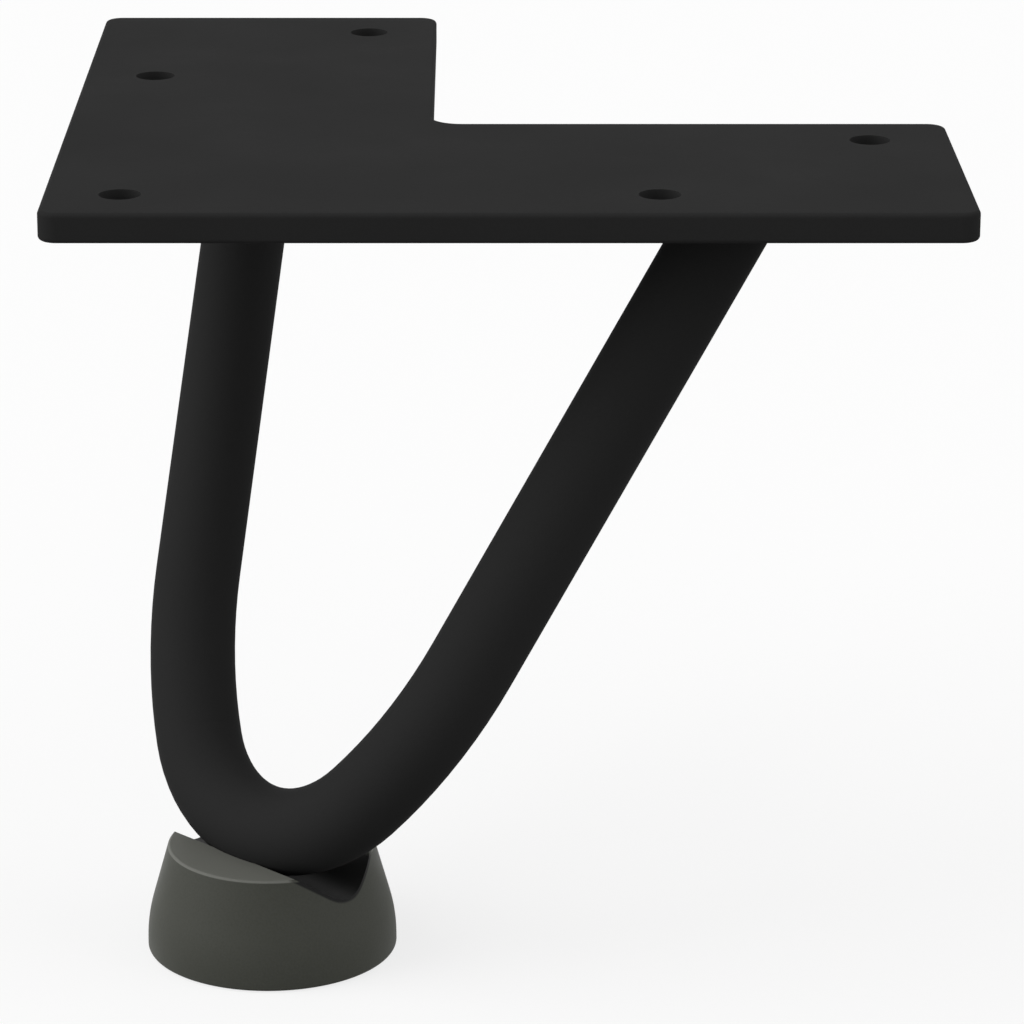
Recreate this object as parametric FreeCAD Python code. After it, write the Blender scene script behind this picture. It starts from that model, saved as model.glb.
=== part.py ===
import FreeCAD, Part
import math
import os

# Hairpin table leg, millimetres, +Z up. The origin lies on the plate's upper face, the one that meets
# the table top, straight above the middle of the foot. +X runs along the front arm of the plate,
# +Y along the side arm, and the diagonal between them is the leg's plane of symmetry.

# Plate
PLATE_SIDE = 120.0
ARM_WIDTH = 50.0
PLATE_T = 4.0
CORNER_R = 2.5
NOTCH_R = 4.0
PLATE_EDGE_R = 0.6
HOLE_R = 2.75
HOLE_INSET = 10.0
HOLE_SPACING = 69.5
TIP_INSET = 11.0

# Rod
ROD_R = 6.0
LEG_HEIGHT = 100.0
ROD_END_SETBACK = 29.0
BEND_R = 20.8
BEND_HALF_TURN_DEG = 53.2
SHOULDER_R = 66.4

# Welds
WELD_LEG = 3.2
WELD_CROWN = 0.4
WELD_BITE = 0.4

# Foot
FOOT_INSET = 27.5
FOOT_BASE_R = 17.3
FOOT_HEIGHT = 15.0
FOOT_UNDER_ROD = 11.8
FOOT_FLARE_DEG = 15.7
FOOT_SKIRT = 4.2
FOOT_BLEND_R = 22.0
FOOT_BASE_EDGE_R = 0.5
FOOT_RIM_R = 0.4
ROD_AHEAD = 1.97
SEAT_CLEARANCE = 0.05
GROOVE_HALF_WIDTH = 7.0
GROOVE_FLANK_DEG = 35.5
GROOVE_BOTTOM_R = 4.8

UP = FreeCAD.Vector(0, 0, 1)
ALONG = FreeCAD.Vector(1, -1, 0).normalize()
REAR = FreeCAD.Vector(1, 1, 0).normalize()


def rounded_outline(corners, radii, z):
    """Closed outline through the corners, each one rounded by its own radius with a true arc."""
    ends = []
    for i, corner in enumerate(corners):
        here = FreeCAD.Vector(corner[0], corner[1], z)
        before = FreeCAD.Vector(corners[i - 1][0], corners[i - 1][1], z) - here
        after_corner = corners[(i + 1) % len(corners)]
        after = FreeCAD.Vector(after_corner[0], after_corner[1], z) - here
        before.normalize()
        after.normalize()
        inward = (before + after).normalize()
        start = here + before * radii[i]
        end = here + after * radii[i]
        middle = here + inward * radii[i] * (math.sqrt(2) - 1)
        ends.append((start, middle, end))
    edges = []
    for i, (start, middle, end) in enumerate(ends):
        edges.append(Part.Arc(start, middle, end).toShape())
        edges.append(Part.makeLine(end, ends[(i + 1) % len(ends)][0]))
    return Part.Wire(edges)


def level_edges(shape, z):
    """The edges of a shape that lie wholly at one height."""
    found = []
    for edge in shape.Edges:
        box = edge.BoundBox
        if abs(box.ZMin - z) < 1e-6 and abs(box.ZMax - z) < 1e-6:
            found.append(edge)
    return found


# Plate: an L blank with rounded corners and softened edges, then five plain holes drilled through.
low = -FOOT_INSET
far = PLATE_SIDE - FOOT_INSET
inner = ARM_WIDTH - FOOT_INSET
plate_corners = [(low, low), (far, low), (far, inner), (inner, inner), (inner, far), (low, far)]
plate_radii = [CORNER_R, CORNER_R, CORNER_R, NOTCH_R, CORNER_R, CORNER_R]
outline = rounded_outline(plate_corners, plate_radii, -PLATE_T)
blank = Part.Face(outline).extrude(UP * PLATE_T)
blank = blank.makeFillet(PLATE_EDGE_R, level_edges(blank, 0) + level_edges(blank, -PLATE_T))
near = low + HOLE_INSET
row_end = near + HOLE_SPACING
tip = far - TIP_INSET
tip_side = inner - HOLE_INSET
hole_centres = [(near, near), (row_end, near), (near, row_end), (tip, tip_side), (tip_side, tip)]
plate = blank
for x, y in hole_centres:
    drill = Part.makeCylinder(HOLE_R, 2 * PLATE_T, FreeCAD.Vector(x, y, -1.5 * PLATE_T), UP)
    plate = plate.cut(drill)

# Rod: a planar centre line from arm to arm. The bend at its foot is tight, a long soft shoulder follows
# on each side, and straight legs run from there to the middle of each arm, where the ends are mitred
# flush to the plate. The bend plane leans back from the foot to the two ends.
end_x = far - ROD_END_SETBACK
end_y = low + ARM_WIDTH / 2
front_end = FreeCAD.Vector(end_x, end_y, -PLATE_T)
side_end = FreeCAD.Vector(end_y, end_x, -PLATE_T)
bottom = REAR * -ROD_AHEAD - UP * (LEG_HEIGHT - ROD_R)
between_ends = (front_end + side_end) * 0.5
rise = (between_ends - bottom).normalize()
bend_centre = bottom + rise * BEND_R
bend_turn = math.radians(BEND_HALF_TURN_DEG)
shoulder_along = (BEND_R - SHOULDER_R) * math.sin(bend_turn)
shoulder_rise = (SHOULDER_R - BEND_R) * math.cos(bend_turn)
end_along = (front_end - between_ends).dot(ALONG) - shoulder_along
end_rise = (between_ends - bend_centre).dot(rise) - shoulder_rise
leg_length = math.sqrt(end_along ** 2 + end_rise ** 2 - SHOULDER_R ** 2)
leg_turn = math.atan2(end_rise, end_along) + math.pi / 2 - math.atan2(leg_length, SHOULDER_R)


def on_bend(turn, side):
    return bend_centre + ALONG * side * BEND_R * math.sin(turn) - rise * BEND_R * math.cos(turn)


def on_shoulder(turn, side):
    along = shoulder_along + SHOULDER_R * math.sin(turn)
    up = shoulder_rise - SHOULDER_R * math.cos(turn)
    return bend_centre + ALONG * side * along + rise * up


def leg_direction(side):
    return ALONG * side * math.cos(leg_turn) + rise * math.sin(leg_turn)


overrun = 3 * ROD_R
front_top = front_end + leg_direction(1) * overrun
side_top = side_end + leg_direction(-1) * overrun
front_start = on_shoulder(leg_turn, 1)
side_start = on_shoulder(leg_turn, -1)
mid_turn = (bend_turn + leg_turn) / 2
path = Part.Wire([
    Part.makeLine(side_top, side_start),
    Part.Arc(side_start, on_shoulder(mid_turn, -1), on_bend(bend_turn, -1)).toShape(),
    Part.Arc(on_bend(bend_turn, -1), bottom, on_bend(bend_turn, 1)).toShape(),
    Part.Arc(on_bend(bend_turn, 1), on_shoulder(mid_turn, 1), front_start).toShape(),
    Part.makeLine(front_start, front_top),
])
section = Part.Wire(Part.makeCircle(ROD_R, side_top, leg_direction(-1)))
bar = path.makePipeShell([section], True, False)
reach = 4 * PLATE_SIDE
above = Part.makeBox(reach, reach, reach, FreeCAD.Vector(-reach / 2, -reach / 2, -PLATE_T))
rod = bar.cut(above)


# Welds: a fillet bead with a slightly crowned face, laid in the corner between rod and plate all the way
# round the rod's end, so that it follows the rod's slanting section on the plate and down the rod.
def weld_outline(meet, direction, spread, depth):
    """Oval at a depth under the plate, spread outwards from the section that the rod has there."""
    lean = FreeCAD.Vector(direction.x, direction.y, 0).normalize()
    middle = meet - direction * (depth / direction.z)
    long_end = middle + lean * (ROD_R / direction.z + spread)
    short_end = middle + UP.cross(lean) * (ROD_R + spread)
    return Part.Wire(Part.Ellipse(long_end, short_end, middle).toShape())


def weld(meet, direction):
    half_way = WELD_LEG / 2 + WELD_CROWN / math.sqrt(2)
    bead = Part.makeLoft([
        weld_outline(meet, direction, WELD_LEG, 0),
        weld_outline(meet, direction, half_way, half_way),
        weld_outline(meet, direction, -WELD_BITE, WELD_LEG + WELD_BITE),
    ], True)
    rod_reach = 4 * (ROD_R + WELD_LEG)
    core = Part.makeCylinder(ROD_R, 2 * rod_reach, meet - direction * rod_reach, direction)
    return bead.cut(core)


weld_front = weld(front_end, leg_direction(1))
weld_side = weld(side_end, leg_direction(-1))

# Foot: turned body with a short upright skirt that blends into a straight flare. A shallow groove with
# sloping flanks and a round bottom runs across the top, and the bend of the rod has its own seat in it.
flare = math.radians(FOOT_FLARE_DEG)
foot_low = -LEG_HEIGHT - FOOT_UNDER_ROD
foot_top = foot_low + FOOT_HEIGHT


def profile_point(centre_r, centre_z, radius, turn):
    return FreeCAD.Vector(centre_r + radius * math.cos(turn), 0, centre_z + radius * math.sin(turn))


def profile_arc(centre_r, centre_z, radius, start, end):
    """Arc of the turned profile about a centre given by its distance from the foot's axis and height."""
    points = [profile_point(centre_r, centre_z, radius, turn) for turn in (start, (start + end) / 2, end)]
    return points[0], Part.Arc(*points).toShape(), points[2]


base_r = FOOT_BASE_R - FOOT_BASE_EDGE_R
base_start, base_arc, base_end = profile_arc(
    base_r, foot_low + FOOT_BASE_EDGE_R, FOOT_BASE_EDGE_R, -math.pi / 2, 0)
blend_z = foot_low + FOOT_SKIRT - FOOT_BLEND_R * math.tan(flare / 2)
blend_start, blend_arc, blend_end = profile_arc(
    FOOT_BASE_R - FOOT_BLEND_R, blend_z, FOOT_BLEND_R, 0, flare)
rim_z = foot_top - FOOT_RIM_R
rim_r = blend_end.x - (rim_z - blend_end.z) * math.tan(flare) - FOOT_RIM_R / math.cos(flare)
rim_start, rim_arc, rim_end = profile_arc(rim_r, rim_z, FOOT_RIM_R, flare, math.pi / 2)
axis_low = FreeCAD.Vector(0, 0, foot_low)
axis_top = FreeCAD.Vector(0, 0, foot_top)
profile = Part.Wire([
    Part.makeLine(axis_top, axis_low),
    Part.makeLine(axis_low, base_start),
    base_arc,
    Part.makeLine(base_end, blend_start),
    blend_arc,
    Part.makeLine(blend_end, rim_start),
    rim_arc,
    Part.makeLine(rim_end, axis_top),
])
body = Part.Face(profile).revolve(FreeCAD.Vector(0, 0, 0), UP, 360)
flank = math.radians(GROOVE_FLANK_DEG)
groove_depth = GROOVE_HALF_WIDTH * math.tan(flank) - GROOVE_BOTTOM_R * (1 / math.cos(flank) - 1)
groove_start = axis_top - ALONG * 2 * FOOT_BASE_R
round_up = GROOVE_BOTTOM_R - groove_depth
round_across = GROOVE_BOTTOM_R * math.sin(flank)
flank_up = round_up - GROOVE_BOTTOM_R * math.cos(flank)
mouth_across = GROOVE_HALF_WIDTH + FOOT_HEIGHT / math.tan(flank)


def groove_point(across, up):
    return groove_start + REAR * across + UP * up


groove_section = Part.Wire([
    Part.makeLine(groove_point(-mouth_across, FOOT_HEIGHT), groove_point(-round_across, flank_up)),
    Part.Arc(groove_point(-round_across, flank_up), groove_point(0, -groove_depth),
             groove_point(round_across, flank_up)).toShape(),
    Part.makeLine(groove_point(round_across, flank_up), groove_point(mouth_across, FOOT_HEIGHT)),
    Part.makeLine(groove_point(mouth_across, FOOT_HEIGHT), groove_point(-mouth_across, FOOT_HEIGHT)),
])
groove = Part.Face(groove_section).extrude(ALONG * 4 * FOOT_BASE_R)
seat = Part.makeTorus(BEND_R, ROD_R + SEAT_CLEARANCE, bend_centre, ALONG.cross(rise))
foot = body.cut(groove).cut(seat)

os.makedirs("parts", exist_ok=True)
plate.exportStep("parts/mounting_plate.step")
rod.exportStep("parts/hairpin_rod.step")
weld_front.exportStep("parts/weld_front.step")
weld_side.exportStep("parts/weld_side.step")
foot.exportStep("parts/foot.step")
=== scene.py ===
import math

import bpy
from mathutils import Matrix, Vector


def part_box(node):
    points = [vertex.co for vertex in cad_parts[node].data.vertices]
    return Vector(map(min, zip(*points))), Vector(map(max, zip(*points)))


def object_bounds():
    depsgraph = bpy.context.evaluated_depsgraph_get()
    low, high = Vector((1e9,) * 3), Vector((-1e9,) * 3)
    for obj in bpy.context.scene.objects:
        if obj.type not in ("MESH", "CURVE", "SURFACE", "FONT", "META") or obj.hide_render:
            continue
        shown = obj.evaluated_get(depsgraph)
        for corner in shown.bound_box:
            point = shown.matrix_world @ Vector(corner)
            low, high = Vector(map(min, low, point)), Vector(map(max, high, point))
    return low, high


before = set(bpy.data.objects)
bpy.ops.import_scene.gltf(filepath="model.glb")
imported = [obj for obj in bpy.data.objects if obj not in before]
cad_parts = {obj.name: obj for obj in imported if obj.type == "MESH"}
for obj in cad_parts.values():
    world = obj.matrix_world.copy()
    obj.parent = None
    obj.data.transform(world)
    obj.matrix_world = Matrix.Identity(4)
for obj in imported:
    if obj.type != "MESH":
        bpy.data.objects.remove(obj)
cad_low, cad_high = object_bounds()

# Mounting plate: an L cut from 4 mm steel sheet, its edges eased, drilled for five screws and powder-coated
# matt black. It lies flat against the underside of the table and carries the rod's two ends.
PLATE_NODE = "mounting_plate"
COAT_COLOUR = (0.0250, 0.0250, 0.0250, 1.0)
COAT_THIN_COLOUR = (0.0264, 0.0264, 0.0264, 1.0)
# Partly the coat's real thin wear on the edges, partly a painted highlight along them.
COAT_EDGE_WEAR_AND_HIGHLIGHT_COLOUR = (0.0275, 0.0275, 0.0270, 1.0)
COAT_SPECULAR = 0.004
COAT_ROUGHNESS = (0.54, 0.68)
COAT_BUMP_DEPTH = 0.000022
PEEL_PER_METRE = 620.0
PEEL_DETAIL = 1.0
GRAIN_PER_METRE = 4200.0
GRAIN_SHARE = 0.35
CLOUD_PER_METRE = 34.0
CLOUD_DETAIL = 3.0
TONE_SPAN = (0.12, 0.38)
GLOSS_SPAN = (0.3, 0.7)
EDGE_REACH = 0.0011
EDGE_SAMPLES = 6
EDGE_TURN = (0.01, 0.16)
EDGE_CHIP_PER_METRE = 900.0
CUT_LINES_PER_METRE = 1900.0
CUT_LINE_DETAIL = 1.0
CUT_LINE_STRETCH = 0.03
CUT_LINE_SHARE = 0.5
CUT_FACE_LEVEL = (0.6, 0.1)
MIX_NUMBERS = (2, 3)
MIX_COLOURS = (6, 7)
MIXED_COLOUR = 2


def add_node(tree, kind, feeds, **options):
    """Adds a node with its options, and feeds its inputs by plain values or by other nodes' outputs."""
    node = tree.nodes.new(kind)
    for option, value in options.items():
        setattr(node, option, value)
    for socket, source in feeds.items():
        if isinstance(source, bpy.types.NodeSocket):
            tree.links.new(source, node.inputs[socket])
        else:
            node.inputs[socket].default_value = source
    return node


def calculate(tree, operation, *values):
    """One step of arithmetic on values that change over the surface."""
    step = add_node(tree, "ShaderNodeMath", dict(enumerate(values)), operation=operation)
    return step.outputs[0]


def spread(tree, value, span, result=(0.0, 1.0)):
    """Spreads a span of values evenly over another span, and holds what lies outside at its ends."""
    mapped = add_node(tree, "ShaderNodeMapRange", {
        "Value": value,
        "From Min": span[0],
        "From Max": span[1],
        "To Min": result[0],
        "To Max": result[1],
    })
    return mapped.outputs[0]


def noise(tree, place, per_metre, detail=2.0):
    """Soft random clouds of a given number to the metre, finer inside with more detail."""
    clouds = add_node(tree, "ShaderNodeTexNoise", {"Vector": place, "Scale": per_metre, "Detail": detail})
    return clouds.outputs[0]


def mix_colours(tree, share, first, second):
    """Blends two colours by a share from 0 to 1. The node's sockets for colours go by number."""
    mixed = add_node(tree, "ShaderNodeMix", {
        "Factor": share, MIX_COLOURS[0]: first, MIX_COLOURS[1]: second}, data_type="RGBA")
    return mixed.outputs[MIXED_COLOUR]


def facing_up(tree):
    """How far the surface faces up: 1 on a level top, 0 on an upright side and -1 on an underside."""
    surface = tree.nodes.new("ShaderNodeNewGeometry")
    facing = add_node(tree, "ShaderNodeSeparateXYZ", {0: surface.outputs["Normal"]})
    return facing.outputs["Z"]


def start_group(name, inputs, outputs):
    """A shader group with named sockets: the group, what comes in, and the node that puts out."""
    group = bpy.data.node_groups.new(name, "ShaderNodeTree")
    for label, kind in inputs.items():
        group.interface.new_socket(label, in_out="INPUT", socket_type=kind)
    for label, kind in outputs.items():
        group.interface.new_socket(label, in_out="OUTPUT", socket_type=kind)
    incoming = group.nodes.new("NodeGroupInput")
    outgoing = group.nodes.new("NodeGroupOutput")
    return group, incoming.outputs, outgoing


def start_material(name):
    """An empty node material with the Object coordinates that its patterns read."""
    material = bpy.data.materials.new(name)
    material.use_nodes = True
    material.node_tree.nodes.clear()
    coordinates = material.node_tree.nodes.new("ShaderNodeTexCoord")
    return material, material.node_tree, coordinates.outputs["Object"]


def finish_material(tree, base, gloss, roughness, height, bump_depth, specular):
    """Ends a material: roughness between two limits, the bump, the Principled shader and the output."""
    bump = add_node(tree, "ShaderNodeBump", {"Height": height, "Distance": bump_depth, "Strength": 1.0})
    surface = add_node(tree, "ShaderNodeBsdfPrincipled", {
        "Base Color": base,
        "Roughness": spread(tree, gloss, (0.0, 1.0), roughness),
        "Normal": bump.outputs["Normal"],
        "Specular IOR Level": specular,
    })
    add_node(tree, "ShaderNodeOutputMaterial", {"Surface": surface.outputs["BSDF"]})


def build_powder_grain():
    """Baked powder: soft orange peel with a fine dust grain on it, and slow drifts of tone and gloss."""
    group, incoming, outgoing = start_group(
        "powder_grain",
        {
            "Vector": "NodeSocketVector",
            "Peel Per Metre": "NodeSocketFloat",
            "Grain Per Metre": "NodeSocketFloat",
            "Cloud Per Metre": "NodeSocketFloat",
            "Grain Share": "NodeSocketFloat",
        },
        {"Height": "NodeSocketFloat", "Tone": "NodeSocketFloat", "Gloss": "NodeSocketFloat"},
    )
    place = incoming["Vector"]
    peel = noise(group, place, incoming["Peel Per Metre"], PEEL_DETAIL)
    grain = noise(group, place, incoming["Grain Per Metre"])
    cloud = noise(group, place, incoming["Cloud Per Metre"], CLOUD_DETAIL)
    height = add_node(group, "ShaderNodeMix", {
        "Factor": incoming["Grain Share"], MIX_NUMBERS[0]: peel, MIX_NUMBERS[1]: grain})
    tone = calculate(group, "MULTIPLY", cloud, grain)
    group.links.new(height.outputs[0], outgoing.inputs["Height"])
    group.links.new(spread(group, tone, TONE_SPAN), outgoing.inputs["Tone"])
    group.links.new(spread(group, cloud, GLOSS_SPAN), outgoing.inputs["Gloss"])
    return group


def build_edge_wear_and_highlight():
    """Marks the sharp edges, where a coat draws thin and hands rub it and where light catches them, broken
    up into short lengths.
    """
    group, incoming, outgoing = start_group(
        "edge_wear_and_highlight",
        {
            "Vector": "NodeSocketVector",
            "Chip Per Metre": "NodeSocketFloat",
            "Turn Min": "NodeSocketFloat",
            "Turn Max": "NodeSocketFloat",
            "Reach": "NodeSocketFloat",
        },
        {"Edge": "NodeSocketFloat"},
    )
    eased = add_node(group, "ShaderNodeBevel", {"Radius": incoming["Reach"]}, samples=EDGE_SAMPLES)
    surface = group.nodes.new("ShaderNodeNewGeometry")
    along = add_node(group, "ShaderNodeVectorMath", {
        0: eased.outputs["Normal"], 1: surface.outputs["Normal"]}, operation="DOT_PRODUCT")
    turn = calculate(group, "SUBTRACT", 1.0, along.outputs["Value"])
    sharp = spread(group, turn, (incoming["Turn Min"], incoming["Turn Max"]))
    chips = noise(group, incoming["Vector"], incoming["Chip Per Metre"])
    group.links.new(calculate(group, "MULTIPLY", sharp, chips), outgoing.inputs["Edge"])
    return group


powder_grain = build_powder_grain()
edge_wear_and_highlight = build_edge_wear_and_highlight()


def powder_coat(name, relief=None):
    """The matt black coat. A piece with a relief of its own under the coat gives it as a height."""
    material, tree, place = start_material(name)
    grain = add_node(tree, "ShaderNodeGroup", {
        "Vector": place,
        "Peel Per Metre": PEEL_PER_METRE,
        "Grain Per Metre": GRAIN_PER_METRE,
        "Cloud Per Metre": CLOUD_PER_METRE,
        "Grain Share": GRAIN_SHARE,
    }, node_tree=powder_grain)
    edge_wear_and_highlight_node = add_node(tree, "ShaderNodeGroup", {
        "Vector": place,
        "Chip Per Metre": EDGE_CHIP_PER_METRE,
        "Turn Min": EDGE_TURN[0],
        "Turn Max": EDGE_TURN[1],
        "Reach": EDGE_REACH,
    }, node_tree=edge_wear_and_highlight)
    coat = mix_colours(tree, grain.outputs["Tone"], COAT_COLOUR, COAT_THIN_COLOUR)
    # The sharp edges paler: the coat's thin wear there and a painted highlight along them.
    colour = mix_colours(tree, edge_wear_and_highlight_node.outputs["Edge"], coat, COAT_EDGE_WEAR_AND_HIGHLIGHT_COLOUR)
    height = grain.outputs["Height"]
    if relief:
        height = relief(tree, place, height)
    finish_material(
        tree, colour, grain.outputs["Gloss"], COAT_ROUGHNESS, height, COAT_BUMP_DEPTH, COAT_SPECULAR)
    return material


def cut_lines(tree, place, height):
    """The sheet's cut faces keep faint upright lines under the coat; the flat faces have none."""
    drawn_out = add_node(tree, "ShaderNodeMapping", {"Vector": place, "Scale": (1.0, 1.0, CUT_LINE_STRETCH)})
    lines = noise(tree, drawn_out.outputs[0], CUT_LINES_PER_METRE, CUT_LINE_DETAIL)
    level = calculate(tree, "ABSOLUTE", facing_up(tree))
    upright = spread(tree, level, CUT_FACE_LEVEL, (0.0, CUT_LINE_SHARE))
    shaped = calculate(tree, "MULTIPLY", lines, upright)
    return calculate(tree, "ADD", height, shaped)


def give_material(node_name, material):
    """Puts a finished material in every slot of a CAD node."""
    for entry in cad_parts[node_name].material_slots:
        entry.material = material


give_material(PLATE_NODE, powder_coat("plate_coat", cut_lines))

# Hairpin rod: 12 mm round bar, bent cold into one tight bend with a long soft shoulder each side, coated
# together with the plate. Both ends are mitred and welded under the plate's arms.
ROD_NODE = "hairpin_rod"
give_material(ROD_NODE, powder_coat("rod_coat"))

# Welds: one round bead where each end of the rod meets the plate, laid by hand all the way round, so it
# keeps the ripples of the torch under the coat. Each bead's ripples turn about its own middle.
WELD_NODES = ("weld_front", "weld_side")
RIPPLES_ROUND = 34.0
RIPPLE_OVER_GRAIN = 6.0
RIPPLE_WANDER = 1.6
RIPPLE_WANDER_PER_METRE = 260.0
RIPPLE_BOW_PER_SQUARE_METRE = 550000.0


def weld_coat(node_name):
    """The coat over one bead, with the ripples placed round the middle of that bead."""
    low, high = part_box(node_name)
    middle = (low + high) / 2

    def ripples(tree, place, height):
        """Waves far over the coat's grain, bowed from toe to toe and uneven by a slow wander of the hand."""
        centred = add_node(tree, "ShaderNodeMapping", {"Vector": place, "Location": -middle})
        parts = add_node(tree, "ShaderNodeSeparateXYZ", {0: centred.outputs[0]})
        angle = calculate(tree, "ARCTAN2", parts.outputs["Y"], parts.outputs["X"])
        wander = noise(tree, place, RIPPLE_WANDER_PER_METRE)
        height_squared = calculate(tree, "MULTIPLY", parts.outputs["Z"], parts.outputs["Z"])
        bow = calculate(tree, "MULTIPLY", height_squared, RIPPLE_BOW_PER_SQUARE_METRE)
        drift = calculate(tree, "MULTIPLY_ADD", wander, RIPPLE_WANDER, bow)
        turns = calculate(tree, "MULTIPLY_ADD", angle, RIPPLES_ROUND, drift)
        wave = calculate(tree, "SINE", turns)
        return calculate(tree, "MULTIPLY_ADD", wave, RIPPLE_OVER_GRAIN, height)

    return powder_coat(node_name + "_coat", ripples)


for weld_node in WELD_NODES:
    give_material(weld_node, weld_coat(weld_node))

# Foot: one block of dark grey rubber, moulded with a groove that the bottom of the rod sits in. The rubber
# is fine matt from the mould, a little chalky, and shines softly where it is seen at a low angle.
FOOT_NODE = "foot"
RUBBER_COLOUR = (0.0575, 0.0597, 0.0501, 1.0)
RUBBER_CHALK_COLOUR = (0.0646, 0.0670, 0.0570, 1.0)
# Painted highlight: a pale line along the foot's top rim, where light catches the small rounding.
RUBBER_RIM_HIGHLIGHT_COLOUR = (0.1550, 0.1575, 0.1420, 1.0)
RIM_DEPTH = (0.00034, 0.00026)
RIM_PAST_GROOVE = (0.0073, 0.0078)
# Painted light: the foot's flat top is painted paler, as if more light fell on it.
RUBBER_TOP_LIGHT_COLOUR = (0.1400, 0.1430, 0.1270, 1.0)
TOP_LIGHT_FACING = (0.90, 0.99)
RUBBER_SPECULAR = 0.10
RUBBER_ROUGHNESS = (0.42, 0.58)
RUBBER_BUMP_DEPTH = 0.000018
STIPPLE_PER_METRE = 3200.0
STIPPLE_SHARE = 0.55
MOULD_WAVE_PER_METRE = 420.0
CHALK_PER_METRE = 85.0
GROOVE_HALF_WIDTH = 0.0070
GROOVE_SLOPE = 0.713
GROOVE_DEPTH = 0.0038
GROOVE_ROUNDING = 0.0016
ACROSS_GROOVE = (math.sqrt(0.5), math.sqrt(0.5), 0.0)
# Painted shade: near black painted on the groove's walls under the rod, where shade falls.
GROOVE_SHADE_COLOUR = (0.0105, 0.0105, 0.0104, 1.0)
GROOVE_SHADE_OVER_WALL = (-0.0007, -0.0004)
GROOVE_SHADE_FRAY = 0.0004
GROOVE_SHADE_FRAY_PER_METRE = 500.0
GROOVE_SHADE_EDGE_SOFTNESS = 0.0002


def foot_place(tree, place):
    """How far a point is from the groove's middle plane, and how far it is below the foot's flat top."""
    across = add_node(tree, "ShaderNodeVectorMath", {0: place, 1: ACROSS_GROOVE}, operation="DOT_PRODUCT")
    away = calculate(tree, "ABSOLUTE", across.outputs["Value"])
    parts = add_node(tree, "ShaderNodeSeparateXYZ", {0: place})
    below_top = calculate(tree, "SUBTRACT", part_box(FOOT_NODE)[1].z, parts.outputs["Z"])
    return away, below_top


def painted_groove_shade(tree, place, away, below_top):
    """Painted shade in the groove: near black on the groove's walls, where shade falls under the rod,
    fraying out just short of its rims.
    """
    wall = calculate(tree, "MULTIPLY_ADD", away, -GROOVE_SLOPE, GROOVE_HALF_WIDTH * GROOVE_SLOPE)
    profile = calculate(tree, "SMOOTH_MIN", wall, GROOVE_DEPTH, GROOVE_ROUNDING)
    above_wall = calculate(tree, "SUBTRACT", profile, below_top)
    in_groove = spread(tree, above_wall, GROOVE_SHADE_OVER_WALL)
    fray = calculate(tree, "MULTIPLY", noise(tree, place, GROOVE_SHADE_FRAY_PER_METRE), GROOVE_SHADE_FRAY)
    past_rim = calculate(tree, "SUBTRACT", below_top, fray)
    under_rim = spread(tree, past_rim, (0.0, GROOVE_SHADE_EDGE_SOFTNESS))
    return calculate(tree, "MULTIPLY", in_groove, under_rim)


def moulded_rubber():
    """Rubber as it leaves the mould, softly chalky, with a painted highlight on its top rim, painted light
    on its flat top and painted shade in its groove.
    """
    material, tree, place = start_material("foot_rubber_moulded")
    grain = add_node(tree, "ShaderNodeGroup", {
        "Vector": place,
        "Peel Per Metre": MOULD_WAVE_PER_METRE,
        "Grain Per Metre": STIPPLE_PER_METRE,
        "Cloud Per Metre": CHALK_PER_METRE,
        "Grain Share": STIPPLE_SHARE,
    }, node_tree=powder_grain)
    rubber = mix_colours(tree, grain.outputs["Tone"], RUBBER_COLOUR, RUBBER_CHALK_COLOUR)
    away, below_top = foot_place(tree, place)
    # A painted highlight along the top rim, away from the groove.
    near_top = spread(tree, below_top, RIM_DEPTH)
    past_groove = spread(tree, away, RIM_PAST_GROOVE)
    rim_highlight_mask = calculate(tree, "MULTIPLY", near_top, past_groove)
    rim_highlighted = mix_colours(tree, rim_highlight_mask, rubber, RUBBER_RIM_HIGHLIGHT_COLOUR)
    # Painted light on the flat top.
    flat_top = spread(tree, facing_up(tree), TOP_LIGHT_FACING)
    top_lit = mix_colours(tree, flat_top, rim_highlighted, RUBBER_TOP_LIGHT_COLOUR)
    # Painted shade in the groove under the rod.
    groove_shade = painted_groove_shade(tree, place, away, below_top)
    colour = mix_colours(tree, groove_shade, top_lit, GROOVE_SHADE_COLOUR)
    finish_material(
        tree, colour, grain.outputs["Gloss"], RUBBER_ROUGHNESS, grain.outputs["Height"],
        RUBBER_BUMP_DEPTH, RUBBER_SPECULAR)
    return material


give_material(FOOT_NODE, moulded_rubber())

# Floor: a plain pale studio floor just under the foot. The leg sees it mid grey, so that it throws little
# light up under the plate. The camera and reflections see it white with the leg's shadow on it, and from
# below it is clear.
FLOOR_SIZE = 12.0
FLOOR_GAP = 0.0001
FLOOR_COLOUR = (0.25, 0.25, 0.25, 1.0)
FLOOR_LIFT = 0.75
WHITE = (1.0, 1.0, 1.0, 1.0)


def seen_directly(tree):
    """1 for rays from the camera, a reflection or a clear material, and 0 for the rest of the light."""
    ray = tree.nodes.new("ShaderNodeLightPath")
    sight = calculate(tree, "MAXIMUM", ray.outputs["Is Camera Ray"], ray.outputs["Is Glossy Ray"])
    return calculate(tree, "MAXIMUM", sight, ray.outputs["Is Transmission Ray"])


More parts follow.
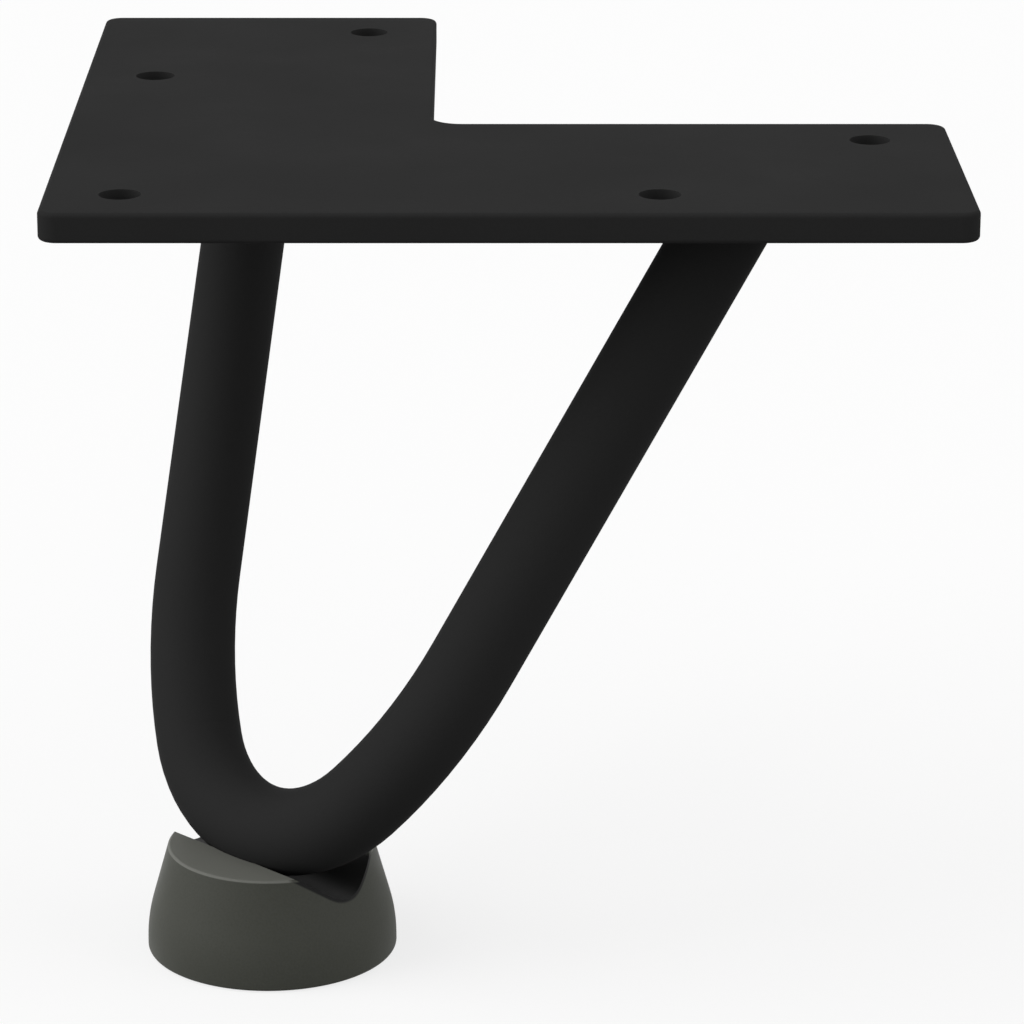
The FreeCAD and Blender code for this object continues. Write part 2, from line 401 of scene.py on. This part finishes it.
bpy.ops.object.select_all(action="DESELECT")
bpy.ops.mesh.primitive_plane_add(size=FLOOR_SIZE, location=(0.0, 0.0, cad_low.z - FLOOR_GAP))
floor = bpy.context.active_object
floor.name = "floor"
bpy.ops.object.transform_apply(location=True, rotation=True, scale=True)
floor_material = bpy.data.materials.new("floor_paper")
floor_material.use_nodes = True
floor_tree = floor_material.node_tree
floor_tree.nodes.clear()
paper = add_node(floor_tree, "ShaderNodeBsdfDiffuse", {"Color": FLOOR_COLOUR})
lift = calculate(floor_tree, "MULTIPLY", seen_directly(floor_tree), FLOOR_LIFT)
glow = add_node(floor_tree, "ShaderNodeEmission", {"Color": WHITE, "Strength": lift})
upper_side = add_node(floor_tree, "ShaderNodeAddShader", {0: paper.outputs[0], 1: glow.outputs[0]})
lower_side = floor_tree.nodes.new("ShaderNodeBsdfTransparent")
side = floor_tree.nodes.new("ShaderNodeNewGeometry")
floor_surface = add_node(floor_tree, "ShaderNodeMixShader", {
    0: side.outputs["Backfacing"], 1: upper_side.outputs[0], 2: lower_side.outputs[0]})
add_node(floor_tree, "ShaderNodeOutputMaterial", {"Surface": floor_surface.outputs[0]})
floor.data.materials.append(floor_material)

# Light: a broad soft lamp high on the left, a stronger low one beside it that shapes the round pieces, a low
# one on the right and an even pale room, at a level where a flat colour facing up renders about as written.
KEY_LEVEL = 0.26
KEY_FROM = Vector((-0.70, -0.05, 0.70))
SIDE_LEVEL = 0.40
SIDE_FROM = Vector((-0.92, -0.25, 0.30))
FILL_LEVEL = 0.25
FILL_FROM = Vector((0.90, -0.25, 0.35))
LAMP_SPREAD = math.radians(50.0)
ROOM_LEVEL = 0.52
BACKDROP_LEVEL = 1.0


def soft_lamp(name, level, direction):
    """A lamp as wide as a softbox close by. At level 1 it lights a white paper that faces it to white."""
    lamp = bpy.data.lights.new(name, "SUN")
    lamp.energy = level * math.pi
    lamp.angle = LAMP_SPREAD
    holder = bpy.data.objects.new(name, lamp)
    holder.rotation_euler = direction.to_track_quat("Z", "Y").to_euler()
    bpy.context.scene.collection.objects.link(holder)


soft_lamp("key_lamp", KEY_LEVEL, KEY_FROM)
soft_lamp("side_lamp", SIDE_LEVEL, SIDE_FROM)
soft_lamp("fill_lamp", FILL_LEVEL, FILL_FROM)

room = bpy.data.worlds.new("pale_room")
room.use_nodes = True
room_tree = room.node_tree
room_tree.nodes.clear()
soft = add_node(room_tree, "ShaderNodeBackground", {"Color": WHITE, "Strength": ROOM_LEVEL})
backdrop = add_node(room_tree, "ShaderNodeBackground", {"Color": WHITE, "Strength": BACKDROP_LEVEL})
room_light = add_node(room_tree, "ShaderNodeMixShader", {
    0: seen_directly(room_tree), 1: soft.outputs[0], 2: backdrop.outputs[0]})
add_node(room_tree, "ShaderNodeOutputWorld", {"Surface": room_light.outputs[0]})
bpy.context.scene.world = room

# Camera: in front of the plate and a little above it, square to its front edge and looking along its side
# arm from a bit over half a metre, as the photograph shows the leg. It is placed from the plate's corner.
CAMERA_FROM_CORNER = Vector((0.05511, -0.56040, 0.14358))
CAMERA_DOWN = 0.3049
CAMERA_LENS = 160.45
CAMERA_SENSOR = 36.0
CAMERA_SHIFT_X = 0.0406
CAMERA_SHIFT_Y = -0.0500
CAMERA_CLIP = (0.01, 50.0)

plate_low, plate_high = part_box(PLATE_NODE)
plate_corner = Vector((plate_low.x, plate_low.y, plate_high.z))
view = bpy.data.cameras.new("camera")
view.lens = CAMERA_LENS
view.sensor_width = CAMERA_SENSOR
view.shift_x = CAMERA_SHIFT_X
view.shift_y = CAMERA_SHIFT_Y
view.clip_start = CAMERA_CLIP[0]
view.clip_end = CAMERA_CLIP[1]
camera = bpy.data.objects.new("camera", view)
camera.location = plate_corner + CAMERA_FROM_CORNER
camera.rotation_euler = (math.pi / 2 - CAMERA_DOWN, 0.0, 0.0)
bpy.context.scene.collection.objects.link(camera)
bpy.context.scene.camera = camera
bpy.context.scene.view_settings.view_transform = "Standard"
